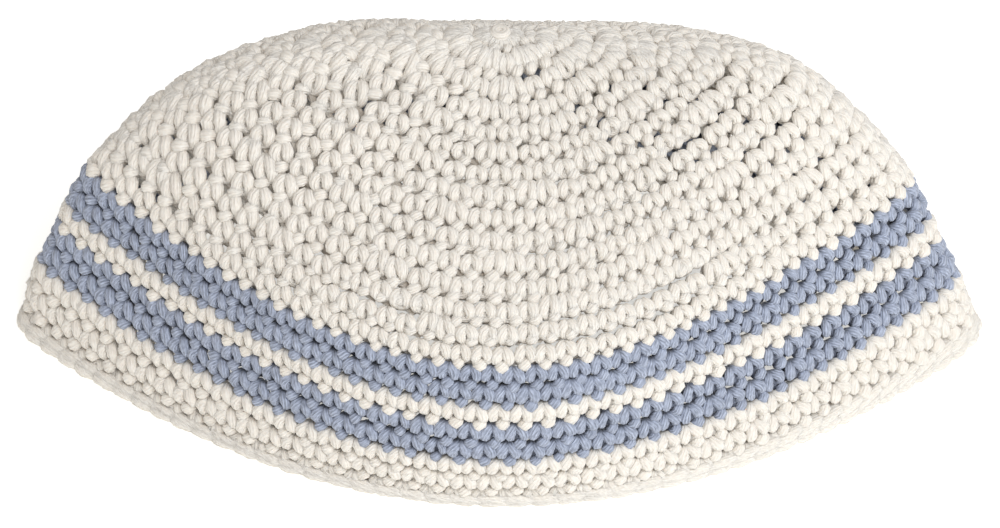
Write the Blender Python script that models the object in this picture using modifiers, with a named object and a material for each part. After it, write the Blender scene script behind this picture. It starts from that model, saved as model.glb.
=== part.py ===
"""A hand-crocheted cotton skullcap with two light blue stripes, standing on its rim.

The cap is worked in the round from the crown outwards. It has been kept folded in half, so it
stands as a long lens with a soft fold at its left and right ends and a ridge between them.

Units are metres and +Z is up. The cap is longest along X, its front faces -Y, and the origin is
on the floor under its middle.
"""

import math
from collections import namedtuple

import bmesh
import bpy
from mathutils import Vector

MM = 0.001

# One finished round of crochet, by its number counted from the crown. Sizes are in mm, taken on
# the outside of the cap. half_length reaches the folds, half_depth reaches the front and back,
# side_height is at the folds and front_height at the front and back. The last row is below the
# floor: it only gives the wall its direction there, and is cut off flat.
RoundShape = namedtuple(
    "RoundShape", "number half_length half_depth side_height front_height fold_radius"
)
ROUND_SHAPES = (
    RoundShape(0, 0.0, 0.0, 92.0, 92.0, 14.0),
    RoundShape(1, 8.0, 5.5, 91.5, 90.0, 14.0),
    RoundShape(2, 15.0, 10.5, 90.5, 86.0, 14.0),
    RoundShape(4, 29.0, 19.0, 88.5, 79.5, 14.0),
    RoundShape(7, 50.5, 30.0, 85.0, 70.5, 13.0),
    RoundShape(10, 70.0, 42.5, 77.0, 61.0, 9.0),
    RoundShape(13, 87.5, 54.5, 62.0, 50.5, 6.0),
    RoundShape(15, 96.5, 60.5, 50.0, 42.5, 5.0),
    RoundShape(18, 103.5, 63.0, 32.5, 26.5, 5.0),
    RoundShape(20, 109.0, 63.5, 20.5, 15.5, 5.5),
    RoundShape(23, 116.0, 62.0, 0.0, 0.0, 7.5),
    RoundShape(24, 117.5, 61.0, -7.0, -5.5, 7.5),
)

# The pieces of the cap, by the rounds that they hold and the yarn that they are made of.
Piece = namedtuple("Piece", "name first_round last_round yarn")
PIECES = (
    Piece("crown", 0, 15, "cream_cotton"),
    Piece("upper_stripe", 15, 17, "blue_cotton"),
    Piece("middle_round", 17, 18, "cream_cotton"),
    Piece("lower_stripe", 18, 20, "blue_cotton"),
    Piece("rim_border", 20, 23, "cream_cotton"),
)
YARN_COLOURS = {
    "cream_cotton": (0.80, 0.76, 0.69, 1.0),
    "blue_cotton": (0.30, 0.37, 0.56, 1.0),
}
YARN_ROUGHNESS = 0.9

WALL_THICKNESS = 4.0 * MM
RIB_DEPTH = 0.6 * MM
POINTS_AROUND = 48
ROWS_PER_ROUND = 2
# Neighbouring pieces keep this gap, as a share of a round about 5.3 mm high, and each edge has a
# narrow row beside it so that the walls on both sides of the gap lean the same way.
GAP_IN_ROUNDS = 0.06
EDGE_ROW_IN_ROUNDS = 0.06
TRIM_IN_ROUNDS = 0.4
FLOOR_CUTTER_SIZE = Vector((260.0, 160.0, 20.0)) * MM
NORMAL_STEP = 0.01


def slopes_of(column, flat_start):
    """Slope of a table column at each of its rows, for a smooth curve through them."""
    numbers = [row.number for row in ROUND_SHAPES]
    values = [getattr(row, column) for row in ROUND_SHAPES]
    steps = [numbers[i + 1] - numbers[i] for i in range(len(numbers) - 1)]
    rises = [(values[i + 1] - values[i]) / steps[i] for i in range(len(steps))]
    slopes = [0.0] * len(numbers)
    for i in range(1, len(steps)):
        weighted = rises[i - 1] * steps[i] + rises[i] * steps[i - 1]
        slopes[i] = weighted / (steps[i - 1] + steps[i])
    slopes[0] = 0.0 if flat_start else 2.0 * rises[0] - slopes[1]
    slopes[-1] = 2.0 * rises[-1] - slopes[-2]
    return slopes


COLUMN_SLOPES = {
    "half_length": slopes_of("half_length", flat_start=False),
    "half_depth": slopes_of("half_depth", flat_start=False),
    "side_height": slopes_of("side_height", flat_start=True),
    "front_height": slopes_of("front_height", flat_start=True),
    "fold_radius": slopes_of("fold_radius", flat_start=True),
}


def shape_value(column, round_number):
    """Value of a table column, in mm, at any place between the rounds."""
    last_span = len(ROUND_SHAPES) - 2
    span = 0
    while span < last_span and round_number >= ROUND_SHAPES[span + 1].number:
        span += 1
    start = ROUND_SHAPES[span]
    end = ROUND_SHAPES[span + 1]
    length = end.number - start.number
    t = (round_number - start.number) / length
    start_slope = COLUMN_SLOPES[column][span] * length
    end_slope = COLUMN_SLOPES[column][span + 1] * length
    return (
        (2 * t**3 - 3 * t**2 + 1) * getattr(start, column)
        + (t**3 - 2 * t**2 + t) * start_slope
        + (3 * t**2 - 2 * t**3) * getattr(end, column)
        + (t**3 - t**2) * end_slope
    )


def cap_point(round_number, angle):
    """Point on the outside of the cap. Angle 0 is the right fold and a quarter turn the front."""
    half_length = shape_value("half_length", round_number)
    half_depth = shape_value("half_depth", round_number)
    side_height = shape_value("side_height", round_number)
    front_height = shape_value("front_height", round_number)
    fold_radius = shape_value("fold_radius", round_number)
    # An ellipse of this depth has the fold's radius at its ends. The rest of the depth grows
    # with the cube of the sine, which leaves the folds alone and makes the plan a lens.
    fold_depth = min(math.sqrt(fold_radius * max(half_length, 0.0)), half_depth)
    across = math.cos(angle)
    outward = math.sin(angle)
    depth = fold_depth * outward + (half_depth - fold_depth) * outward**3
    height = front_height + (side_height - front_height) * across**2
    return Vector((half_length * across, -depth, height)) * MM


def cap_normal(round_number, angle):
    """Outward direction of the cap's surface."""
    above = cap_point(round_number - NORMAL_STEP, angle)
    below = cap_point(round_number + NORMAL_STEP, angle)
    ahead = cap_point(round_number, angle + NORMAL_STEP)
    behind = cap_point(round_number, angle - NORMAL_STEP)
    return (ahead - behind).cross(below - above).normalized()


def ribbed_point(round_number, angle):
    """Surface point, sunk a little where one round ends and the next begins."""
    sink = RIB_DEPTH * math.cos(math.pi * round_number) ** 2
    return cap_point(round_number, angle) - cap_normal(round_number, angle) * sink


def rows_of(piece):
    """Places down the cap where the piece has a row of points, from its top edge to its bottom."""
    rows = []
    inner_rows = range(piece.first_round * ROWS_PER_ROUND + 1, piece.last_round * ROWS_PER_ROUND)
    if piece.first_round > 0:
        top_edge = piece.first_round + GAP_IN_ROUNDS / 2
        rows += [top_edge, top_edge + EDGE_ROW_IN_ROUNDS]
    rows += [row / ROWS_PER_ROUND for row in inner_rows]
    if piece is PIECES[-1]:
        rows += [piece.last_round, piece.last_round + TRIM_IN_ROUNDS]
    else:
        bottom_edge = piece.last_round - GAP_IN_ROUNDS / 2
        rows += [bottom_edge - EDGE_ROW_IN_ROUNDS, bottom_edge]
    return rows


def yarn_material(name):
    """Matt cotton of one colour."""
    material = bpy.data.materials.new(name)
    material.use_nodes = True
    shader = material.node_tree.nodes["Principled BSDF"]
    shader.inputs["Base Color"].default_value = YARN_COLOURS[name]
    shader.inputs["Roughness"].default_value = YARN_ROUGHNESS
    shader.inputs["Metallic"].default_value = 0.0
    return material


def fabric_sheet(piece):
    """Open mesh of the piece's outer face. The crown closes at its middle."""
    mesh = bmesh.new()
    rings = []
    for row in rows_of(piece):
        angles = [2 * math.pi * i / POINTS_AROUND for i in range(POINTS_AROUND)]
        rings.append([mesh.verts.new(ribbed_point(row, angle)) for angle in angles])
    for upper, lower in zip(rings, rings[1:]):
        for i in range(POINTS_AROUND):
            j = (i + 1) % POINTS_AROUND
            mesh.faces.new((upper[i], upper[j], lower[j], lower[i]))
    if piece.first_round == 0:
        middle = mesh.verts.new(cap_point(0, 0))
        for i in range(POINTS_AROUND):
            mesh.faces.new((middle, rings[0][(i + 1) % POINTS_AROUND], rings[0][i]))
    bmesh.ops.recalc_face_normals(mesh, faces=mesh.faces)
    data = bpy.data.meshes.new(piece.name)
    mesh.to_mesh(data)
    mesh.free()
    return data


def floor_cutter(collection):
    """Block below the floor, which trims the rim flat."""
    bpy.ops.mesh.primitive_cube_add(size=1.0, location=(0.0, 0.0, -FLOOR_CUTTER_SIZE.z / 2))
    cutter = bpy.context.active_object
    cutter.name = "floor_cutter"
    cutter.scale = FLOOR_CUTTER_SIZE
    cutter.hide_render = True
    cutter.display_type = "WIRE"
    for owner in list(cutter.users_collection):
        owner.objects.unlink(cutter)
    collection.objects.link(cutter)
    return cutter


def fabric_wall(piece, materials, collection):
    """The piece as a wall of fabric, thickened inwards from its outer face."""
    wall = bpy.data.objects.new(piece.name, fabric_sheet(piece))
    collection.objects.link(wall)
    wall.data.materials.append(materials[piece.yarn])
    wall.data.shade_smooth()
    thickness = wall.modifiers.new("fabric thickness", "SOLIDIFY")
    thickness.thickness = WALL_THICKNESS
    thickness.offset = -1.0
    return wall


def trim_flat(wall, cutter):
    """Cuts the rim level, so that the cap stands on a flat edge."""
    trim = wall.modifiers.new("level rim", "BOOLEAN")
    trim.operation = "DIFFERENCE"
    trim.object = cutter


def main():
    for item in list(bpy.data.objects):
        bpy.data.objects.remove(item, do_unlink=True)
    parts = bpy.data.collections.new("kippah_skullcap")
    cutters = bpy.data.collections.new("cutters")
    bpy.context.scene.collection.children.link(parts)
    bpy.context.scene.collection.children.link(cutters)
    materials = {name: yarn_material(name) for name in YARN_COLOURS}
    walls = [fabric_wall(piece, materials, parts) for piece in PIECES]
    trim_flat(walls[-1], floor_cutter(cutters))


main()
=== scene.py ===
# %% [markdown]
# # A crocheted cotton skullcap with two light blue stripes
# The real cap is worked by hand in single crochet. It starts at a ring in the crown and goes round
# and round in one spiral down to the rim, and the yarn changes colour for the stripes. The packed
# model holds it as five smooth bands, which is the shape but not the fabric. This lesson makes the
# fabric: it works every stitch again, with thick cotton yarn that is led through the same loops as
# the real one. A bump texture on the bands would be quicker, but the outline, the holes between
# stitches and the inside would stay smooth.

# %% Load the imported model
import math

import bpy
import numpy as np
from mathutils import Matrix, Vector


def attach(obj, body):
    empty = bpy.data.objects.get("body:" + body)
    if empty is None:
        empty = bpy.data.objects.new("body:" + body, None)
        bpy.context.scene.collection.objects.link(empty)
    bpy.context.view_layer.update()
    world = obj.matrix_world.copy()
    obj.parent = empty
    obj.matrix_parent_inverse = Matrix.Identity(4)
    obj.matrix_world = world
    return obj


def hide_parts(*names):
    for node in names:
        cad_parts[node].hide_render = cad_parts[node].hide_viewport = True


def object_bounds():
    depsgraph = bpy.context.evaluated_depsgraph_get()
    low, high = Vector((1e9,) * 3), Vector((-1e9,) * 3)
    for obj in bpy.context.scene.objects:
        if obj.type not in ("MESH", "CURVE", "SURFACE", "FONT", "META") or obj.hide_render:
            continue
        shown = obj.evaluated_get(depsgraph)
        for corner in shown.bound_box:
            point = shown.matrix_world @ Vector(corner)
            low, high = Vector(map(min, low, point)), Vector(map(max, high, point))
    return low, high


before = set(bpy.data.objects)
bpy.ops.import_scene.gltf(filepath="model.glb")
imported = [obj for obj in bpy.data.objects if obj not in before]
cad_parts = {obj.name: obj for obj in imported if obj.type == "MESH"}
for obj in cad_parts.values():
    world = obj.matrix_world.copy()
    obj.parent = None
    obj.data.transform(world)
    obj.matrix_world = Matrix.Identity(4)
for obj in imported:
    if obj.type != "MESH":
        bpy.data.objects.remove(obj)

cad_low, cad_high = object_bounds()
print("bands in the model:", sorted(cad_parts))
print("its box in mm:", [round(side * 1000, 1) for side in cad_high - cad_low])

# %% [markdown]
# ## The cap's surface
# All the stitches lie on one surface, the same one that the bands of the model have. It is written
# as a short table: a row for some of the rounds, with its half length, half depth and heights in
# mm. Between the rows each column is a smooth curve. A place on the cap is then two numbers. The
# first counts rounds from the crown, and the second is the turn from the middle of the front, in
# radians, with the right fold at a quarter turn and the back at a half.

# %% Table of rounds
MM = 0.001
SHAPE_COLUMNS = ("round", "half_length", "half_depth", "side_height", "front_height", "fold_radius")
SHAPE_ROWS = (
    (0, 0.0, 0.0, 92.0, 92.0, 14.0),
    (1, 8.0, 5.5, 91.5, 90.0, 14.0),
    (2, 15.0, 10.5, 90.5, 86.0, 14.0),
    (4, 29.0, 19.0, 88.5, 79.5, 14.0),
    (7, 50.5, 30.0, 85.0, 70.5, 13.0),
    (10, 70.0, 42.5, 77.0, 61.0, 9.0),
    (13, 87.5, 54.5, 62.0, 50.5, 6.0),
    (15, 96.5, 60.5, 50.0, 42.5, 5.0),
    (18, 103.5, 63.0, 32.5, 26.5, 5.0),
    (20, 109.0, 63.5, 20.5, 15.5, 5.5),
    (23, 116.0, 62.0, 0.0, 0.0, 7.5),
    (24, 117.5, 61.0, -7.0, -5.5, 7.5),
)
SHAPE = {name: np.array(column, float) for name, column in zip(SHAPE_COLUMNS, zip(*SHAPE_ROWS))}
LEVEL_AT_CROWN = ("side_height", "front_height", "fold_radius")
print("rounds in the table:", [row[0] for row in SHAPE_ROWS])


# %% Smooth curve through a column
def column_slopes(name):
    """Slope of a column at each row of the table."""
    steps = np.diff(SHAPE["round"])
    rises = np.diff(SHAPE[name]) / steps
    slopes = np.zeros(len(steps) + 1)
    slopes[1:-1] = (rises[:-1] * steps[1:] + rises[1:] * steps[:-1]) / (steps[:-1] + steps[1:])
    slopes[0] = 0.0 if name in LEVEL_AT_CROWN else 2 * rises[0] - slopes[1]
    slopes[-1] = 2 * rises[-1] - slopes[-2]
    return slopes


SLOPES = {name: column_slopes(name) for name in SHAPE_COLUMNS[1:]}


def shape_value(name, rounds):
    """Value of a column at any places between the rounds."""
    numbers = SHAPE["round"]
    span = np.clip(np.searchsorted(numbers, rounds, side="right") - 1, 0, len(numbers) - 2)
    length = numbers[span + 1] - numbers[span]
    t = (rounds - numbers[span]) / length
    return (
        (2 * t**3 - 3 * t**2 + 1) * SHAPE[name][span]
        + (t**3 - 2 * t**2 + t) * SLOPES[name][span] * length
        + (3 * t**2 - 2 * t**3) * SHAPE[name][span + 1]
        + (t**3 - t**2) * SLOPES[name][span + 1] * length
    )


print("half length at round 11.5 in mm:", round(float(shape_value("half_length", np.array(11.5))), 1))

# %% [markdown]
# The outline of a round seen from above is a lens. An ellipse with the fold's radius at its ends
# gives the folds, and the cube of the sine adds the rest of the depth without touching them. A soft
# cap that was kept in a drawer also has slow dents and bulges. A few long waves move the surface in
# and out by less than a millimetre, and each row of the second table is one larger bulge, or a dent
# where its size is negative, at a round and a turn.

# %% Points and directions on the surface
NORMAL_STEP = 0.01
WAVE_COLUMNS = ("size_mm", "waves_round", "waves_down", "phase")
WAVE_ROWS = (
    (0.35, 3, 0.21, 0.4),
    (0.30, 5, 0.33, 2.1),
    (0.22, 8, 0.50, 4.4),
)
BULGE_COLUMNS = ("size_mm", "round", "rounds_wide", "turn", "turn_wide")
BULGE_ROWS = (
    (-0.9, 1.0, 4.0, 0.00, 9.00),
    (1.6, 9.0, 2.0, 1.57, 0.40),
    (-1.3, 4.0, 2.5, 1.57, 0.80),
    (-1.2, 14.5, 2.0, 1.57, 0.35),
    (-1.2, 8.0, 4.0, -1.57, 0.60),
    (1.8, 18.0, 4.0, -1.57, 0.35),
    (-0.9, 23.0, 3.0, -1.10, 0.40),
    (0.9, 22.5, 4.0, 0.60, 0.35),
)
RIM_ROUND = 23
FADED_ROUNDS = 3


def outer_surface(rounds, turn):
    """Points on the outside of the cap, in mm, without its dents."""
    half_length = np.maximum(shape_value("half_length", rounds), 0.0)
    half_depth = np.maximum(shape_value("half_depth", rounds), 0.0)
    side_height = shape_value("side_height", rounds)
    front_height = shape_value("front_height", rounds)
    fold_depth = np.minimum(np.sqrt(shape_value("fold_radius", rounds) * half_length), half_depth)
    sideways = np.sin(turn)
    forward = np.cos(turn)
    depth = fold_depth * forward + (half_depth - fold_depth) * forward**3
    height = front_height + (side_height - front_height) * sideways**2
    return np.stack([half_length * sideways, -depth, height], axis=-1)


def outward(rounds, turn):
    """Directions that stand straight out of the surface."""
    down = outer_surface(rounds + NORMAL_STEP, turn) - outer_surface(rounds - NORMAL_STEP, turn)
    right = outer_surface(rounds, turn + NORMAL_STEP) - outer_surface(rounds, turn - NORMAL_STEP)
    across = np.cross(down, right)
    return across / np.maximum(np.linalg.norm(across, axis=-1, keepdims=True), 1e-9)


def dents(rounds, turn):
    """How far the soft fabric has moved out or in, in mm. The waves fade at the crown and rim."""
    total = np.zeros(np.broadcast(rounds, turn).shape)
    for row in WAVE_ROWS:
        wave = dict(zip(WAVE_COLUMNS, row))
        swing = wave["waves_round"] * turn + wave["waves_down"] * rounds + wave["phase"]
        total = total + wave["size_mm"] * np.sin(swing)
    total = total * np.clip(rounds / FADED_ROUNDS, 0, 1)
    total = total * np.clip((RIM_ROUND - rounds) / FADED_ROUNDS, 0, 1)
    for row in BULGE_ROWS:
        bulge = dict(zip(BULGE_COLUMNS, row))
        away_round = (rounds - bulge["round"]) / bulge["rounds_wide"]
        away_turn = 2 * np.sin((turn - bulge["turn"]) / 2) / bulge["turn_wide"]
        total = total + bulge["size_mm"] * np.exp(-(away_round**2) - away_turn**2)
    return total


middle_front = outward(np.array(11.0), np.array(0.0))
print("outward at the middle of the front:", np.round(middle_front, 2))

# %% [markdown]
# ## Rounds and stitches
# The first round has twelve stitches in the starting ring. Each later round of the crown has six
# more, up to 90 at round 14, and then the count stays at 90 so that the sides go straight down. The
# work goes round from left to right on the front and sinks by one round for each turn, so every
# stripe ends half a round lower at the right fold than at the left. The last rounds are levelled
# out, as a maker does before finishing off. The step between first and last stitch is at the back.

# %% Stitch counts
LAST_ROUND = RIM_ROUND
LAST_GROWING_ROUND = 14
STITCHES_IN_RING = 12
STITCHES_ADDED = 6
SINKING_ROUNDS = (1, 4, 20, 23)
SINKING_SHARES = (0.0, 1.0, 0.9, 0.0)


def stitches_in(number):
    """Stitches in a round."""
    return STITCHES_IN_RING + STITCHES_ADDED * (min(number, LAST_GROWING_ROUND) - 1)


def spiral_share(number):
    """Share of a full round that the work sinks in one turn."""
    return float(np.interp(number, SINKING_ROUNDS, SINKING_SHARES))


total_stitches = sum(stitches_in(number) for number in range(1, LAST_ROUND + 1))
print("stitches in the cap:", total_stitches)

# %% [markdown]
# Stitches in one round are not all as wide. On the crown the front and back are drawn together and
# the fabric near the folds is stretched, more at the left than at the right, and towards the rim
# they even out. The next function walks along a round, adds up its length, weighs it by that, and
# gives the turn for any share of the round's stitches.

# %% Even steps along a round
STEPS_ROUND = 1440
TIGHTNESS_ROUNDS = (11, 13, 15, 20, 22)
TIGHTNESS = (0.10, 0.09, 0.11, 0.05, 0.0)
ONE_SIDED = (0.09, 0.07, 0.0, 0.0, 0.0)
INNERMOST_WALK = 0.3


def turn_table(number):
    """Shares of the round's stitches, and the turn at each."""
    turn = np.linspace(-math.pi, math.pi, STEPS_ROUND + 1)
    rounds = number - 0.5 + spiral_share(number) * turn / (2 * math.pi)
    points = outer_surface(np.clip(rounds, INNERMOST_WALK, None), turn)
    lengths = np.linalg.norm(np.diff(points, axis=0), axis=1)
    middles = (turn[:-1] + turn[1:]) / 2
    widths = 1 - np.interp(number, TIGHTNESS_ROUNDS, TIGHTNESS) * np.cos(2 * middles)
    widths -= np.interp(number, TIGHTNESS_ROUNDS, ONE_SIDED) * np.sin(middles)
    shares = np.concatenate([[0.0], np.cumsum(lengths / widths)])
    return shares / shares[-1], turn


TURN_TABLES = {number: turn_table(number) for number in range(1, LAST_ROUND + 1)}


def turn_at(number, share):
    """Turn at a share of the round's stitches. Shares past its ends go on into the next lap."""
    laps = np.floor(share)
    shares, turns = TURN_TABLES[number]
    return np.interp(share - laps, shares, turns) + laps * 2 * math.pi


def share_at(number, turn):
    """Share of the round's stitches at a turn, the other way round."""
    laps = np.floor((turn + math.pi) / (2 * math.pi))
    shares, turns = TURN_TABLES[number]
    return np.interp(turn - laps * 2 * math.pi, turns, shares) + laps


quarter = turn_at(15, np.array([0.25, 0.5, 0.75]))
print("turns at a quarter, half and three quarters of round 15:", np.round(quarter, 2))

# %% [markdown]
# ## One stitch
# Seen with the crown up, a single crochet stitch shows two fat lobes of yarn that leave the same
# place in the round above, like an arch. Their feet curve in again, which opens a dark hole between
# neighbours. Below the arch and to its right is a short fat bar, the front of the loop that closes
# the stitch, and it fills the gap between two arches of the next round. On the inside the yarn runs
# up to the arch and along the back of that loop. The table leads the yarn through one stitch. Along
# is in stitch widths from its middle, down in stitch heights from the round above, and out in mm
# from the middle of the fabric. Top is how far a place follows when the top of the arch is pulled
# to one side or up, and bar is 1 where the place belongs to the bar.

# %% Path of the yarn through a stitch
PATH_COLUMNS = ("along", "down", "out", "thickness", "top", "bar")
STITCH_PATH = (
    (-0.44, 0.92, -1.40, 0.85, 0.0, 0.0),
    (-0.26, 0.42, -1.30, 0.85, 0.6, 0.0),
    (-0.08, 0.24, -0.70, 0.82, 1.0, 0.0),
    (-0.13, 0.25, 0.20, 0.94, 1.0, 0.0),
    (-0.22, 0.32, 0.90, 1.06, 0.8, 0.0),
    (-0.29, 0.46, 1.10, 1.10, 0.4, 0.0),
    (-0.30, 0.62, 0.92, 1.04, 0.1, 0.0),
    (-0.24, 0.78, 0.25, 0.86, 0.0, 0.0),
    (-0.13, 0.86, -0.60, 0.80, 0.0, 0.0),
    (0.00, 0.79, -0.10, 1.00, 0.0, 0.0),
    (0.13, 0.84, -0.60, 0.80, 0.0, 0.0),
    (0.25, 0.77, 0.20, 0.86, 0.0, 0.0),
    (0.32, 0.61, 0.92, 1.04, 0.1, 0.0),
    (0.30, 0.45, 1.12, 1.10, 0.4, 0.0),
    (0.21, 0.32, 0.92, 1.06, 0.8, 0.0),
    (0.12, 0.25, 0.25, 0.94, 1.0, 0.0),
    (0.08, 0.24, -0.70, 0.82, 1.0, 0.0),
    (0.02, 0.54, -0.50, 1.00, 0.4, 0.0),
    (-0.06, 1.12, -0.60, 0.86, 0.0, 1.0),
    (0.00, 1.13, 0.45, 1.00, 0.0, 1.0),
    (0.09, 1.08, 0.95, 1.12, 0.0, 1.0),
    (0.19, 1.00, 0.95, 1.10, 0.0, 1.0),
    (0.26, 0.95, 0.40, 0.94, 0.0, 1.0),
    (0.29, 0.93, -0.80, 0.84, 0.0, 1.0),
)
BAR_ALONG = 0.14
BAR_DOWN = 1.04
print("places in one stitch's path:", len(STITCH_PATH))

# %% [markdown]
# The last round is the edging, of slip stitches. Their lobes are short and hardly show, and the
# loops are drawn long and lie along the rim like a smooth cord, each over the start of the next.

# %% Path of the yarn through an edging stitch
EDGING_PATH = (
    (-0.35, 0.60, -1.35, 0.82, 0.2, 0.0),
    (-0.20, 0.32, -1.30, 0.82, 0.8, 0.0),
    (-0.06, 0.20, -0.70, 0.80, 1.0, 0.0),
    (-0.09, 0.22, 0.15, 0.86, 1.0, 0.0),
    (-0.14, 0.30, 0.60, 0.94, 0.8, 0.0),
    (-0.18, 0.42, 0.45, 0.94, 0.4, 0.0),
    (-0.16, 0.55, -0.30, 0.86, 0.0, 0.0),
    (0.04, 0.50, -0.60, 0.82, 0.0, 0.0),
    (0.22, 0.55, -0.30, 0.86, 0.0, 0.0),
    (0.22, 0.42, 0.45, 0.94, 0.4, 0.0),
    (0.14, 0.30, 0.60, 0.94, 0.8, 0.0),
    (0.08, 0.22, 0.15, 0.86, 1.0, 0.0),
    (0.06, 0.20, -0.70, 0.80, 1.0, 0.0),
    (-0.10, 0.45, -1.20, 0.82, 0.3, 0.0),
    (-0.30, 0.66, 0.20, 0.88, 0.0, 0.0),
    (-0.05, 0.64, 1.00, 0.98, 0.0, 0.0),
    (0.35, 0.63, 1.25, 1.00, 0.0, 0.0),
    (0.80, 0.65, 1.20, 1.00, 0.0, 0.0),
    (1.20, 0.72, 0.80, 0.94, 0.0, 0.0),
    (1.22, 0.90, 0.60, 0.86, 0.0, 0.0),
    (0.85, 0.98, 1.20, 0.96, 0.0, 0.0),
    (0.45, 1.00, 1.50, 1.02, 0.0, 0.0),
    (0.05, 0.98, 1.20, 0.96, 0.0, 0.0),
    (-0.05, 0.84, -0.90, 0.84, 0.0, 0.0),
)
print("places in an edging stitch's path:", len(EDGING_PATH))

# %% [markdown]
# ## Where each stitch sits
# A stitch is worked into the top of one below it in the work, which is above it here. Those tops
# lean a little, so each round lies about a third of a stitch to the left of the one above, and each
# bar lies in a gap of the next round. A round of the crown has six gaps more than the last has bars.
# There the tops of the arches on both sides lean together and reach up, which closes the gap. Those
# places are spread about, so that no lines show in the crown.

# %% Places of the stitches in a round
DRIFT = 0.31
SPREAD = 0.19
BAR_TO_GAP = 0.5 - DRIFT
CLOSED_BY = 0.12


def row_shift(number):
    """Shift of a round's stitches along it, in stitch widths."""
    still_growing = max(LAST_GROWING_ROUND - number, 0)
    return (-DRIFT * number - SPREAD * still_growing**2) % 1.0


def stitch_shares(number):
    """Share of the round at the middle of each stitch."""
    return (np.arange(stitches_in(number)) + 0.5 + row_shift(number)) / stitches_in(number)


def gaps_for_bars(number):
    """The gap of the next round that each stitch's bar lies in. Gap 0 follows the first stitch."""
    bars = stitch_shares(number) + BAR_TO_GAP / stitches_in(number)
    return np.round(bars * stitches_in(number + 1) - 1.0 - row_shift(number + 1)).astype(int)


def gap_places(number):
    """How far along each bar's gap is from the middle of its stitch, in stitch widths."""
    if number == LAST_ROUND:
        return np.full(stitches_in(number), BAR_TO_GAP)
    gap_share = (gaps_for_bars(number) + 1.0 + row_shift(number + 1)) / stitches_in(number + 1)
    here = share_at(number, turn_at(number + 1, gap_share))
    return (here - stitch_shares(number)) * stitches_in(number)


def top_shifts(number):
    """How far the top of each arch is pulled along, in stitch widths."""
    count = stitches_in(number)
    shifts = np.zeros(count)
    if number == 1:
        return shifts
    closed = np.ones(count, bool)
    closed[gaps_for_bars(number - 1) % count] = False
    shifts[closed] += CLOSED_BY
    shifts[np.roll(closed, 1)] -= CLOSED_BY
    return shifts


print("closed gaps in round 12:", int((top_shifts(12) > 0).sum()))

# %% [markdown]
# Stitches don't all stand square to their round. On the real cap those on the left and in the
# middle of the front hang straight down, although the rounds slope there, and towards the right
# they lean over. The lean table gives their direction as it is seen from 40 degrees above, with 90
# for straight down, and each stitch is turned in the surface until it points that way. At the folds
# and on the back, where the photo doesn't show them, and at the crown, they are left square.

# %% Size and direction of the stitches
ROW_LINE = 0.95
SEEN_FROM = math.radians(40.0)
LEAN_TURNS = (0.1, 0.45, 0.8, 1.2)
LEAN_DEGREES = (90.0, 75.0, 62.0, 58.0)
SQUARE_TURNS = (1.2, 1.7)
SQUARE_ROUNDS = (2, 5)
MOST_TURNED = math.radians(42.0)
INNERMOST_ROW = 0.5


def row_line(number, turn):
    """Where the feet of a round's arches are, counted in rounds from the crown."""
    place = number - 1 + ROW_LINE + spiral_share(number) * turn / (2 * math.pi)
    return np.clip(place, INNERMOST_ROW, LAST_ROUND)


def turned_by(number, turn, right, down):
    """Angle by which stitches are turned in the surface, towards the right at their feet."""
    lean = np.radians(np.interp(turn, LEAN_TURNS, LEAN_DEGREES))
    right_seen, down_seen = (
        (way[:, 0], -way[:, 1] * math.sin(SEEN_FROM) - way[:, 2] * math.cos(SEEN_FROM))
        for way in (right, down)
    )
    missing = down_seen[1] * np.cos(lean) - down_seen[0] * np.sin(lean)
    gained = right_seen[0] * np.sin(lean) - right_seen[1] * np.cos(lean)
    angle = np.clip(np.arctan2(missing, gained), -MOST_TURNED, MOST_TURNED)
    on_the_front = np.interp(np.abs(turn), SQUARE_TURNS, (1.0, 0.0))
    off_the_crown = np.interp(number, SQUARE_ROUNDS, (0.0, 1.0))
    return angle * (on_the_front * off_the_crown)


def stitch_frames(number):
    """Width and height of each stitch in mm, slide of the next round along it, and its angle."""
    count = stitches_in(number)
    share = stitch_shares(number)
    left, middle, right = (turn_at(number, share + step / count) for step in (-0.5, 0.0, 0.5))
    place = row_line(number, middle)
    along = outer_surface(row_line(number, right), right) - outer_surface(row_line(number, left), left)
    below = outer_surface(place + 0.5, middle) - outer_surface(place - 0.5, middle)
    width = np.linalg.norm(along, axis=1)
    rightwards = along / width[:, None]
    downwards = np.cross(rightwards, outward(place, middle))
    height = np.einsum("sk,sk->s", below, downwards)
    slide = np.einsum("sk,sk->s", below, rightwards)
    return width, height, slide, turned_by(number, middle, rightwards, downwards)


for number in (3, 12, 19):
    width, height, slide, angle = stitch_frames(number)
    print("round", number, "is", round(width.min(), 1), "to", round(width.max(), 1), "mm a stitch,")
    print("and its stitches are turned by up to", round(math.degrees(np.abs(angle).max())), "degrees")

# %% [markdown]
# The yarn's middle line through a round is the path table, put at each stitch's place. An arch
# grows with the distance between the rounds, up to a limit, and it is longer where the stitch is
# turned. Beside a gap that holds no bar its top reaches up. The bar is put where there is most
# room, as far from its own arch as from the two arches of the next round on both sides of its gap.
# At the left of the front it lies halfway to the next round's arch on the right instead, and
# everywhere it is nudged by a fraction of a millimetre. Bars are fuller in tall stitches.
#
# The photo shows stitches that change slowly from the left of the front to its right. So some
# values are rows of four, for the turns in FRONT_PARTS, and are blended between them.
#
# Soft cotton is springy: where stitches are crowded, as at the crown, it is squeezed thin, and
# where the fabric is stretched it opens out and still fills most of the stitch. So its thickness
# follows the size of the stitch, but no more than its width allows. The white yarn is a little
# thicker than the blue. No hand works evenly, so each stitch gets a small seeded change of place,
# height and tension. Where the path would dip below the table that the cap stands on, it is lifted
# until the yarn just rests.

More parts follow.
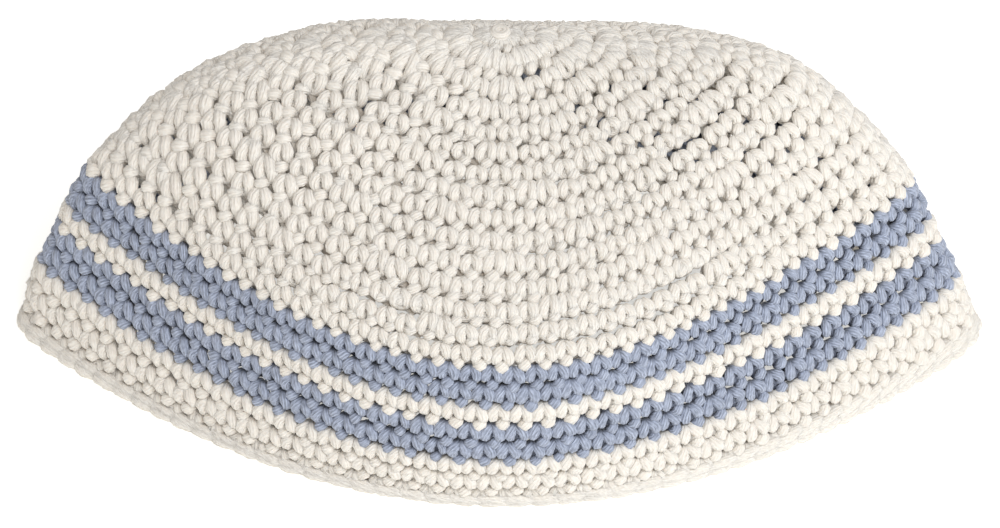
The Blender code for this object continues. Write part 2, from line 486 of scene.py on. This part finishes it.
# %% Yarn through one round
HAND = np.random.default_rng(2316)
USUAL_STITCH = 5.4
USUAL_ARCH = 5.2
ARCH_GROWTH = 1.2
TALLEST_ARCH = 1.08
TURNED_LONGER = 0.6
FULLEST_BAR = 1.15
RAISED_TOP = 0.24
ARCH_TOP = 0.24
ARCH_MIDDLE = 0.50
FRONT_PARTS = (-0.7, -0.2, 0.2, 0.7)
ARCH_LENGTH = (1.0, 1.0, 1.0, 0.88)
BAR_WIDTH = (0.9, 0.8, 0.8, 0.7)
BAR_ROUND = (0.95, 0.92, 0.92, 0.95)
BAR_HALFWAY = (1.0, 0.0, 0.0, 0.0)
BAR_RIGHT = (-0.35, -0.35, -0.35, -0.58)
BAR_LOWER = (0.1, -0.45, -0.45, -0.42)
DRAWN_THIN = (0.96, 1.0, 1.0, 0.9)
SPRINGINESS = 1.1
THINNEST = 0.5
FULLEST_FOR_WIDTH = 1.18
YARN_RADIUS = {"cream_cotton": 1.34, "blue_cotton": 1.18}
FABRIC_MIDDLE = 2.25
UNEVEN = 1.0
UNEVEN_EDGING = 0.4
PLACE_VARIES = 0.15
HEIGHT_VARIES = 0.08
TENSION_VARIES = 0.04
WOBBLE = 0.06
INNERMOST_YARN = 0.28
PAST_RIM = 0.3


def bar_places(number, front, width, tall, slide, angle, arch):
    """Where the middle of each bar is, in mm to the right of and down from its row line."""
    gap = gap_places(number)[:, None] * width + slide
    next_width = width * stitches_in(number) / stitches_in(min(number + 1, LAST_ROUND))
    room_below = ((next_width / 2) ** 2 + tall**2 - gap**2) / (2 * tall)
    halfway = np.interp(front, FRONT_PARTS, BAR_HALFWAY)
    right = (1 - halfway) * gap + halfway * (gap + next_width / 2) / 2
    down = (1 - halfway) * room_below + halfway * tall / 2
    arch_middle = (ARCH_MIDDLE - ROW_LINE) * arch
    right = right + arch_middle * np.sin(angle) + np.interp(front, FRONT_PARTS, BAR_RIGHT)
    return right, down + arch_middle * np.cos(angle) + np.interp(front, FRONT_PARTS, BAR_LOWER)


def round_path(number, path, yarn_radius):
    """Middle line, radii, outward directions and heights in the fabric, for one round's stitches."""
    table = {name: np.array(column) for name, column in zip(PATH_COLUMNS, zip(*path))}
    count = stitches_in(number)
    uneven = UNEVEN_EDGING if number == LAST_ROUND else UNEVEN
    place = HAND.normal(0.0, PLACE_VARIES * uneven, (count, 1, 2))
    height = HAND.normal(0.0, HEIGHT_VARIES * uneven, (count, 1))
    tension = HAND.normal(1.0, TENSION_VARIES * uneven, (count, 1))
    wobble = HAND.normal(0.0, WOBBLE * uneven, (count, len(path), 3))
    width, tall, slide, angle = (values[:, None] for values in stitch_frames(number))
    fullness = np.maximum((np.sqrt(width * tall) / USUAL_STITCH) ** SPRINGINESS, THINNEST)
    fullness = np.minimum(fullness, FULLEST_FOR_WIDTH * width / USUAL_STITCH)
    front = turn_at(number, stitch_shares(number))[:, None]
    fullness = fullness * np.interp(front, FRONT_PARTS, DRAWN_THIN)
    arch = np.minimum(USUAL_ARCH * (tall / USUAL_STITCH) ** ARCH_GROWTH, TALLEST_ARCH * tall)
    arch = arch / np.cos(angle) ** TURNED_LONGER
    bar_size = np.clip(tall / width, 1.0, FULLEST_BAR) * np.interp(front, FRONT_PARTS, BAR_ROUND)
    in_bar = table["bar"] > 0.5
    pulled = top_shifts(number)[:, None]
    across = (table["along"] + pulled * table["top"]) * width * np.sqrt(np.cos(angle))
    beneath = (table["down"] - ARCH_TOP) * np.interp(front, FRONT_PARTS, ARCH_LENGTH)
    reaching_up = RAISED_TOP * (np.abs(pulled) > 0) * table["top"]
    beneath = (beneath + ARCH_TOP - ROW_LINE - reaching_up) * arch
    bar_right, bar_down = bar_places(number, front, width, tall, slide, angle, arch)
    bar_along = (table["along"] - BAR_ALONG) * width
    bar_right = bar_right + bar_along * np.interp(front, FRONT_PARTS, BAR_WIDTH)
    bar_down = bar_down + (table["down"] - BAR_DOWN) * arch
    arch_right = across * np.cos(angle) + beneath * np.sin(angle)
    arch_down = beneath * np.cos(angle) - across * np.sin(angle)
    right = np.where(in_bar, bar_right, arch_right) + place[..., 0]
    down = np.where(in_bar, bar_down, arch_down) + place[..., 1]
    share = stitch_shares(number)[:, None] + (right - down / tall * slide) / width / count
    turn = turn_at(number, share)
    rounds = number - 1 + ROW_LINE + spiral_share(number) * turn / (2 * math.pi) + down / tall
    rounds = np.clip(rounds, INNERMOST_YARN, LAST_ROUND + PAST_RIM)
    direction = outward(rounds, turn)
    out = table["out"] * fullness + height
    lift = dents(rounds, turn) - FABRIC_MIDDLE + out
    line = outer_surface(rounds, turn) + direction * lift[..., None] + wobble
    radius = yarn_radius * table["thickness"] * tension * fullness
    radius = radius * np.where(in_bar, bar_size, 1.0)
    line[..., 2] = np.maximum(line[..., 2], radius)
    return line, radius, direction, out


line, radius, direction, out = round_path(12, STITCH_PATH, YARN_RADIUS["cream_cotton"])
print("yarn in round 12 in mm:", round(float(np.linalg.norm(np.diff(line, axis=1), axis=2).sum())))

# %% [markdown]
# ## From a line to yarn
# The line is read as a smooth curve through its points. A stitch gets 30 rings of points, close
# together on the lobes that show and further apart inside the fabric. Each ring has ten points, one
# for each strand of the yarn, and every second strand is pressed in a little. The rings turn slowly
# along the yarn, so the strands are twisted as real ones are. Every point is also moved in or out
# at random by a hair, because spun cotton is never quite round. Blender's own curve with a bevel
# would make a smooth tube, and couldn't spend its rings where they show.

# %% Rings along the yarn
RINGS_IN_STITCH = 30
HIDDEN_SHARE = 0.55
SHOWN_ABOVE = -0.2


def ring_places(path):
    """Places along a stitch's path for its rings, closer together where the yarn is outside."""
    table = {name: np.array(column) for name, column in zip(PATH_COLUMNS, zip(*path))}
    flat = [table["along"] * USUAL_STITCH, table["down"] * USUAL_STITCH, table["out"]]
    points = np.stack(flat, axis=1)
    nexts = np.roll(points, -1, axis=0)
    nexts[-1] = points[0] + np.array([USUAL_STITCH, 0.0, 0.0])
    lengths = np.linalg.norm(nexts - points, axis=1)
    shown = (table["out"] + np.roll(table["out"], -1)) / 2 > SHOWN_ABOVE
    weights = lengths * np.where(shown, 1.0, HIDDEN_SHARE)
    sums = np.concatenate([[0.0], np.cumsum(weights)])
    wanted = np.arange(RINGS_IN_STITCH) / RINGS_IN_STITCH * sums[-1]
    return np.interp(wanted, sums, np.arange(len(sums)))


def curve_through(values, places):
    """Smooth curve through a list of values, read at places that count along the list."""
    start = np.floor(places).astype(int)
    t = (places - start).reshape((-1,) + (1,) * (values.ndim - 1))
    last = len(values) - 1
    before, here, after, beyond = (values[np.clip(start + i, 0, last)] for i in (-1, 0, 1, 2))
    return 0.5 * (
        2 * here
        + (after - before) * t
        + (2 * before - 5 * here + 4 * after - beyond) * t**2
        + (3 * here - before - 3 * after + beyond) * t**3
    )


stitch_rings = ring_places(STITCH_PATH)
print("rings on the first lobe:", int(((stitch_rings > 3) & (stitch_rings < 8)).sum()))

# %% [markdown]
# The rings must not spin where the yarn bends. So the sideways direction of each ring is carried
# over from the last one and only straightened, and the twist is added on top of it.

# %% Plies around the yarn
SIDES = 10
PLY_DEPTH = 0.07
TWIST_LENGTH = 34.0
ROUGHEN = 0.055


def carried_sides(tangents):
    """A direction across the yarn at every ring, carried along without spinning."""
    side = Vector((0.0, 0.0, 1.0))
    sides = []
    for tangent in (Vector(t) for t in tangents.tolist()):
        side = (side - tangent * side.dot(tangent)).normalized()
        sides.append(side[:])
    return np.array(sides)


def yarn_rings(centres, radii):
    """Points of every ring around the yarn, and the length of yarn up to each ring."""
    tangents = np.gradient(centres, axis=0)
    tangents /= np.maximum(np.linalg.norm(tangents, axis=1, keepdims=True), 1e-9)
    sides = carried_sides(tangents)
    others = np.cross(tangents, sides)
    length = np.concatenate([[0.0], np.cumsum(np.linalg.norm(np.diff(centres, axis=0), axis=1))])
    angle = 2 * math.pi * (np.arange(SIDES) / SIDES + length[:, None] / TWIST_LENGTH)
    ply = np.where(np.arange(SIDES) % 2 == 0, 1.0, 1.0 - PLY_DEPTH)
    ply = ply * HAND.normal(1.0, ROUGHEN, (len(centres), SIDES))
    spokes = np.cos(angle)[..., None] * sides[:, None] + np.sin(angle)[..., None] * others[:, None]
    return centres[:, None] + spokes * (radii[:, None] * ply)[..., None], spokes, length


print("sides of a ring:", SIDES)

# %% [markdown]
# ## The mesh of a length of yarn
# Yarn that lies in a fabric is pressed flat a little, so each ring is wider along the fabric than
# it is thick. Each piece keeps what its material needs to know. The yarn map says how far along and
# around the yarn a point is. Relief is how far a point is from the middle of the fabric, where the
# holes are darkest, from 0 there to 1 on top of the lobes on either side, and the material paints
# shade on the yarn where it is low. Handling is a number for each stitch, because the yarn takes up
# light a little differently in each. The second map has every stitch in a small rectangle of its
# own, so that the finish can be baked into an image.

# %% Build a piece of yarn
HOLE_HEIGHT = -0.35
OPEN_HEIGHT = 1.5
WIDER = 1.06
FLATTER = 0.90
BAKE_COLUMNS = 8
BAKE_MARGIN = 0.08
LOWEST_POINT = 0.02


def yarn_mesh(name, paths, yarn_radius):
    """Mesh of the yarn that runs through these rounds, one after another."""
    parts = [round_path(number, path, yarn_radius) for number, path in paths]
    line = np.concatenate([part[0].reshape(-1, 3) for part in parts])
    radius = np.concatenate([part[1].reshape(-1) for part in parts])
    direction = np.concatenate([part[2].reshape(-1, 3) for part in parts])
    out = np.concatenate([part[3].reshape(-1) for part in parts])
    places = []
    start = 0
    for number, path in paths:
        first = start + np.arange(stitches_in(number)) * len(path)
        places.append((first[:, None] + ring_places(path)).reshape(-1))
        start += stitches_in(number) * len(path)
    places = np.concatenate(places)
    centres = curve_through(line, places)
    radii = curve_through(radius, places)
    rings, spokes, length = yarn_rings(centres, radii)
    upwards = curve_through(direction, places)
    facing = np.einsum("rsk,rk->rs", spokes, upwards)
    rings = rings + (rings - centres[:, None]) * (WIDER - 1.0)
    rings = rings - (facing * radii[:, None] * (WIDER - FLATTER))[..., None] * upwards[:, None]
    height = curve_through(out, places)[:, None] + facing * radii[:, None] * FLATTER
    # Relief is the mask for the painted shade deep in the holes.
    relief = np.clip(np.abs(height - HOLE_HEIGHT) / OPEN_HEIGHT, 0.0, 1.0)
    rings[..., 2] = np.maximum(rings[..., 2], LOWEST_POINT)
    return mesh_of_rings(name, rings, length, relief)


def mesh_of_rings(name, rings, length, relief):
    """Joins the rings with faces, closes both ends and adds the maps and values."""
    count = len(rings)
    here = np.arange(count - 1)[:, None] * SIDES + np.arange(SIDES)
    after = np.arange(count - 1)[:, None] * SIDES + (np.arange(SIDES) + 1) % SIDES
    quads = np.stack([here, after, after + SIDES, here + SIDES], axis=-1).reshape(-1, 4)
    ends = [list(range(SIDES))[::-1], [(count - 1) * SIDES + i for i in range(SIDES)]]
    mesh = bpy.data.meshes.new(name)
    mesh.from_pydata((rings.reshape(-1, 3) * MM).tolist(), [], quads.tolist() + ends)
    mesh.shade_smooth()
    add_maps(mesh, count, length)
    stitch = np.arange(count) // RINGS_IN_STITCH
    handling = np.repeat(HAND.random(int(stitch[-1]) + 1)[stitch], SIDES)
    for kind, values in (("relief", relief.reshape(-1)), ("handling", handling)):
        mesh.attributes.new(kind, "FLOAT", "POINT").data.foreach_set("value", values)
    mesh.update()
    return mesh


def add_maps(mesh, count, length):
    """The yarn map, and the map with a rectangle for each stitch."""
    ring = np.repeat(np.arange(count - 1), SIDES)
    side = np.tile(np.arange(SIDES), count - 1)
    corner_ring = np.stack([ring, ring, ring + 1, ring + 1], axis=1)
    corner_side = np.stack([side, side + 1, side + 1, side], axis=1)
    yarn = np.stack([length[corner_ring], corner_side / SIDES], axis=-1)
    stitch = (ring // RINGS_IN_STITCH)[:, None]
    rows = math.ceil((stitch.max() + 1) / BAKE_COLUMNS)
    along = (corner_ring - stitch * RINGS_IN_STITCH) / RINGS_IN_STITCH
    inside = 1 - 2 * BAKE_MARGIN
    u = (stitch % BAKE_COLUMNS + BAKE_MARGIN / 4 + along * (1 - BAKE_MARGIN / 2)) / BAKE_COLUMNS
    v = (stitch // BAKE_COLUMNS + BAKE_MARGIN + corner_side / SIDES * inside) / rows
    baked = np.stack([u, v], axis=-1)
    for map_name, corners in (("yarn", yarn), ("OFBake", baked)):
        layer = mesh.uv_layers.new(name=map_name)
        flat = np.zeros((len(mesh.loops), 2))
        flat[: corners.size // 2] = corners.reshape(-1, 2)
        flat[corners.size // 2 :] = corners.reshape(-1, 2)[0]
        layer.data.foreach_set("uv", flat.reshape(-1))


# %% [markdown]
# ## Cotton yarn
# The yarn is cotton of sport weight, spun from short fibres and then twisted from ten strands.
# Cotton is matt, with a faint pale bloom from loose fibre ends at its edges, which is what sheen
# gives. The grooves between strands and the yarn deep in the holes are given a darker colour, which
# is painted shade on top of the shade that the render finds there. White cotton also lets some light
# through, which softens its shadows. Real fibres are 0.02 mm, too fine to show, so they are drawn as
# wisps 0.4 mm wide and 0.8 mm long. The yarn is about 8.2 mm around, which sets how many lie side by
# side.

# %% Colours and a helper for nodes
# The darker colour of each yarn is painted shade in the holes and grooves, and also its random fibre
# mottle.
CREAM_LIGHT = "F0EBE3"
CREAM_SHADE_AND_MOTTLE = "CEC4B7"
BLUE_LIGHT = "BEC7DB"
BLUE_SHADE_AND_MOTTLE = "1C2238"


def linear(hex_colour):
    """Linear colour of an sRGB hex value."""
    channels = [int(hex_colour[i : i + 2], 16) / 255 for i in (0, 2, 4)]
    return [c / 12.92 if c <= 0.04045 else ((c + 0.055) / 1.055) ** 2.4 for c in channels] + [1.0]


def add_node(tree, kind, settings=None, inputs=None):
    """Adds a node, sets its own settings, and sets or links its inputs."""
    node = tree.nodes.new("ShaderNode" + kind)
    for name, value in (settings or {}).items():
        setattr(node, name, value)
    for name, value in (inputs or {}).items():
        if isinstance(value, bpy.types.NodeSocket):
            tree.links.new(value, node.inputs[name])
        else:
            node.inputs[name].default_value = value
    return node


print("cream in linear light:", [round(c, 2) for c in linear(CREAM_LIGHT)[:3]])

# %% Material for cotton yarn
STRANDS = 10
FIBRE_WIDTH = 0.4
FIBRE_LENGTH = 0.8
YARN_ROUND = 8.2
COTTON_ROUGHNESS = 0.85
COTTON_IOR = 1.53
COTTON_GLOSS = 0.25
BLOOM = 0.25
BLOOM_ROUGHNESS = 0.5
LIGHT_REACH = 1.2
LIGHT_REACH_BY_COLOUR = (1.0, 0.9, 0.8)
DEEPEST_RELIEF = 0.05
LEAST_HANDLING = 0.93
GROOVE_RIDGE = 0.5
RIDGE_HEIGHT = 0.3


def cotton_yarn(
    name, light, shade_and_mottle, painted_groove_level, fibre_shade, painted_shade_relief, ridge_strength, let_through
):
    """Matt twisted cotton, with painted shade in the grooves between strands and deep in the fabric.
    """
    material = bpy.data.materials.new(name)
    material.use_nodes = True
    tree = material.node_tree
    shader = tree.nodes["Principled BSDF"]
    shader.inputs["Roughness"].default_value = COTTON_ROUGHNESS
    shader.inputs["IOR"].default_value = COTTON_IOR
    shader.inputs["Sheen Weight"].default_value = BLOOM
    shader.inputs["Sheen Roughness"].default_value = BLOOM_ROUGHNESS
    shader.inputs["Specular IOR Level"].default_value = COTTON_GLOSS
    shader.inputs["Subsurface Weight"].default_value = let_through
    shader.inputs["Subsurface Radius"].default_value = LIGHT_REACH_BY_COLOUR
    shader.inputs["Subsurface Scale"].default_value = LIGHT_REACH * MM
    yarn = add_node(tree, "UVMap", {"uv_map": "yarn"})
    split = add_node(tree, "SeparateXYZ", inputs={"Vector": yarn.outputs["UV"]})
    around = add_node(
        tree, "Math", {"operation": "MULTIPLY"}, {0: split.outputs["Y"], 1: 2 * math.pi * STRANDS}
    )
    wave = add_node(tree, "Math", {"operation": "COSINE"}, {0: around.outputs[0]})
    groove = add_node(
        tree, "MapRange", inputs={"Value": wave.outputs[0], "From Min": -1.0, "From Max": 0.3}
    )
    fibre_scale = (1 / FIBRE_LENGTH, YARN_ROUND / FIBRE_WIDTH, 1.0)
    fibre_place = add_node(
        tree, "Mapping", inputs={"Vector": yarn.outputs["UV"], "Scale": fibre_scale}
    )
    fibres = add_node(
        tree,
        "TexNoise",
        {"noise_dimensions": "2D"},
        {"Vector": fibre_place.outputs["Vector"], "Scale": 1.0, "Detail": 2.0},
    )
    relief = add_node(tree, "Attribute", {"attribute_name": "relief"})
    handling = add_node(tree, "Attribute", {"attribute_name": "handling"})
    # Painted shade: yarn low in the fabric, near the holes, gets the darker colour.
    painted_hole_shade = add_node(
        tree, "MapRange", {"interpolation_type": "SMOOTHSTEP"},
        {"Value": relief.outputs["Fac"], "From Min": DEEPEST_RELIEF, "From Max": painted_shade_relief},
    )
    # Painted shade in the grooves between the strands of the yarn.
    painted_groove_shade = add_node(
        tree, "MapRange", inputs={"Value": groove.outputs[0], "To Min": painted_groove_level, "To Max": 1.0}
    )
    fibre_light = add_node(
        tree, "MapRange", {},
        {
            "Value": fibres.outputs["Fac"], "From Min": 0.3, "From Max": 0.7,
            "To Min": fibre_shade, "To Max": 1.0,
        },
    )
    stitch_light = add_node(
        tree, "MapRange", {},
        {"Value": handling.outputs["Fac"], "To Min": LEAST_HANDLING, "To Max": 1.0},
    )
    # The light colour's share is cut by painted shade in the holes and grooves, and by random fibre
    # and stitch tone.
    share = painted_hole_shade.outputs[0]
    for other in (painted_groove_shade, fibre_light, stitch_light):
        share = add_node(
            tree, "Math", {"operation": "MULTIPLY", "use_clamp": True}, {0: share, 1: other.outputs[0]}
        ).outputs[0]
    colour = add_node(
        tree, "Mix", {"data_type": "RGBA"},
        {"Factor": share, 6: linear(shade_and_mottle), 7: linear(light)},
    )
    tree.links.new(colour.outputs[2], shader.inputs["Base Color"])
    ridges = add_node(
        tree, "Math", {"operation": "MULTIPLY_ADD"},
        {0: groove.outputs[0], 1: GROOVE_RIDGE, 2: fibres.outputs["Fac"]},
    )
    bump = add_node(
        tree, "Bump", {},
        {"Height": ridges.outputs[0], "Strength": ridge_strength, "Distance": RIDGE_HEIGHT * MM},
    )
    tree.links.new(bump.outputs["Normal"], shader.inputs["Normal"])
    return material


YARN_COLUMNS = (
    "light", "shade_and_mottle", "painted_groove_level", "fibre_shade", "painted_shade_relief", "ridge_strength", "let_through"
)
# The second to fifth columns set the painted shade and the random fibre mottle of each yarn.
YARN_ROWS = {
    "cream_cotton": (CREAM_LIGHT, CREAM_SHADE_AND_MOTTLE, 0.94, 0.60, 0.42, 0.8, 0.25),
    "blue_cotton": (BLUE_LIGHT, BLUE_SHADE_AND_MOTTLE, 0.78, 0.56, 1.00, 0.9, 0.0),
}
MATERIALS = {
    slot: cotton_yarn(slot + "_yarn", **dict(zip(YARN_COLUMNS, row)))
    for slot, row in YARN_ROWS.items()
}
print("materials:", [material.name for material in MATERIALS.values()])

# %% [markdown]
# ## Working the cap
# Now the yarn is worked, from the starting ring to the rim. Each colour change starts a new length,
# so each band of the model gets a piece of its own. The crown's yarn is in three lengths, as a
# maker also joins a new ball when one runs out.

# %% Work every piece
PIECE_COLUMNS = ("name", "first", "last", "node", "slot")
PIECE_ROWS = (
    ("crown_first_rounds", 1, 8, "crown", "cream_cotton"),
    ("crown_middle_rounds", 9, 12, "crown", "cream_cotton"),
    ("crown_last_rounds", 13, 15, "crown", "cream_cotton"),
    ("upper_stripe_yarn", 16, 17, "upper_stripe", "blue_cotton"),
    ("middle_round_yarn", 18, 18, "middle_round", "cream_cotton"),
    ("lower_stripe_yarn", 19, 20, "lower_stripe", "blue_cotton"),
    ("rim_border_yarn", 21, 23, "rim_border", "cream_cotton"),
)


def worked_piece(name, first, last, node, slot):
    """Works some rounds of the cap and puts them in place of a band of the model."""
    paths = [
        (number, EDGING_PATH if number == LAST_ROUND else STITCH_PATH)
        for number in range(first, last + 1)
    ]
    piece = bpy.data.objects.new(name, yarn_mesh(name, paths, YARN_RADIUS[slot]))
    bpy.context.scene.collection.objects.link(piece)
    piece.data.materials.append(MATERIALS[slot])
    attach(piece, "root")
    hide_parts(node)
    return piece


for row in PIECE_ROWS:
    piece = worked_piece(**dict(zip(PIECE_COLUMNS, row)))
    triangles = sum(len(face.vertices) - 2 for face in piece.data.polygons)
    print(piece.name, "has", triangles, "triangles")

# %% [markdown]
# ## The starting ring
# The first twelve stitches are worked into a small ring of yarn that is then drawn shut. It lies
# just under their tops and fills the middle of the crown. It is a plain torus, because only a spot
# of it shows.

# %% Starting ring
RING_RADIUS = 1.3
RING_DEPTH = 2.3
RING_STEPS = 32
MIDDLE_VALUE = 0.5


def starting_ring():
    """A closed loop of the same yarn in the middle of the crown."""
    bpy.ops.mesh.primitive_torus_add(
        major_radius=RING_RADIUS * MM,
        minor_radius=YARN_RADIUS["cream_cotton"] * MM,
        major_segments=RING_STEPS,
        minor_segments=SIDES,
        location=(0.0, 0.0, cad_high.z - RING_DEPTH * MM),
    )
    ring = bpy.context.active_object
    ring.name = "starting_ring"
    ring.data.shade_smooth()
    for name in ("relief", "handling"):
        values = np.full(len(ring.data.vertices), MIDDLE_VALUE)
        ring.data.attributes.new(name, "FLOAT", "POINT").data.foreach_set("value", values)
    ring.data.uv_layers[0].name = "yarn"
    ring.data.materials.append(MATERIALS["cream_cotton"])
    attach(ring, "root")
    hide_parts("crown")
    return ring


print("ring across in mm:", round(starting_ring().dimensions.x * 1000, 1))

# %% [markdown]
# ## Table, light and camera
# The cap stands on a plain white table that glows a little, like the light tables that are used for
# product photographs, so the background stays white beside the cap. Two large soft lights are used.
# The stronger one is above and in front, near the camera, and lights the gaps between stitches. The
# other comes from the right, which leaves the left of the cap darker. A warm even surround fills
# the shadows, as in a light tent. The camera looks down from 40 degrees with a long lens.

# %% Table
TABLE_SIZE = 6.0
TABLE_WHITE = "F2F2F0"
TABLE_GLOW = 0.55
TABLE_ROUGHNESS = 0.9
TABLE_GLOSS = 0.1


def white_table():
    """A wide matt surface under the cap, lit a little from below."""
    bpy.ops.mesh.primitive_plane_add(size=TABLE_SIZE)
    table = bpy.context.active_object
    table.name = "table"
    material = bpy.data.materials.new("matt_white_acrylic")
    material.use_nodes = True
    shader = material.node_tree.nodes["Principled BSDF"]
    shader.inputs["Base Color"].default_value = linear(TABLE_WHITE)
    shader.inputs["Roughness"].default_value = TABLE_ROUGHNESS
    shader.inputs["Specular IOR Level"].default_value = TABLE_GLOSS
    shader.inputs["Emission Color"].default_value = linear(TABLE_WHITE)
    shader.inputs["Emission Strength"].default_value = TABLE_GLOW
    table.data.materials.append(material)
    return table


print("table across in m:", white_table().dimensions.x)


# %% Lights
LIGHT_COLUMNS = ("name", "place", "size", "power", "colour")
LIGHT_ROWS = (
    ("key_light", (0.95, -0.60, 0.75), 0.7, 4.9, (0.88, 0.94, 1.0)),
    ("front_light", (0.25, -0.78, 1.12), 0.7, 11.2, (0.97, 0.98, 1.0)),
)
SURROUND_COLOUR = (1.0, 0.95, 0.89, 1.0)
SURROUND_STRENGTH = 0.37


def soft_light(name, place, size, power, colour):
    """A square area light that faces the cap."""
    data = bpy.data.lights.new(name, "AREA")
    data.size = size
    data.energy = power
    data.color = colour
    light = bpy.data.objects.new(name, data)
    bpy.context.scene.collection.objects.link(light)
    light.location = place
    light.rotation_euler = (-Vector(place)).to_track_quat("-Z", "Y").to_euler()
    return light


for row in LIGHT_ROWS:
    soft_light(**dict(zip(LIGHT_COLUMNS, row)))
world = bpy.data.worlds.new("light_tent")
bpy.context.scene.world = world
world.use_nodes = True
surround = world.node_tree.nodes["Background"]
surround.inputs["Color"].default_value = SURROUND_COLOUR
surround.inputs["Strength"].default_value = SURROUND_STRENGTH
bpy.context.scene.view_settings.view_transform = "Standard"

# %% Camera
IMAGE_WIDTH = 1000
IMAGE_HEIGHT = 528
SENSOR_WIDTH = 36.0
LENS_IN_PIXELS = 3839.4
TARGET_PIXEL_DOWN = 184.5
CAMERA_DISTANCE = 0.900
CAMERA_ELEVATION = math.radians(40.0)
CAMERA_AZIMUTH = math.radians(0.7)
TARGET = Vector((0.0, 0.0, 0.045))
NEAREST_SEEN = 0.05


def camera():
    """Long lens from the front and above, tipped so that the cap fills the frame."""
    data = bpy.data.cameras.new("camera")
    data.sensor_width = SENSOR_WIDTH
    data.lens = LENS_IN_PIXELS / IMAGE_WIDTH * SENSOR_WIDTH
    data.clip_start = NEAREST_SEEN
    item = bpy.data.objects.new("camera", data)
    bpy.context.scene.collection.objects.link(item)
    level = math.cos(CAMERA_ELEVATION)
    sideways = math.sin(CAMERA_AZIMUTH) * level
    forward = -math.cos(CAMERA_AZIMUTH) * level
    back = Vector((sideways, forward, math.sin(CAMERA_ELEVATION)))
    item.location = TARGET + back * CAMERA_DISTANCE
    tip = math.atan((IMAGE_HEIGHT / 2 - TARGET_PIXEL_DOWN) / LENS_IN_PIXELS)
    item.rotation_euler = (math.pi / 2 - CAMERA_ELEVATION - tip, 0.0, CAMERA_AZIMUTH)
    bpy.context.scene.camera = item
    return item


print("lens in mm:", round(camera().data.lens, 1))
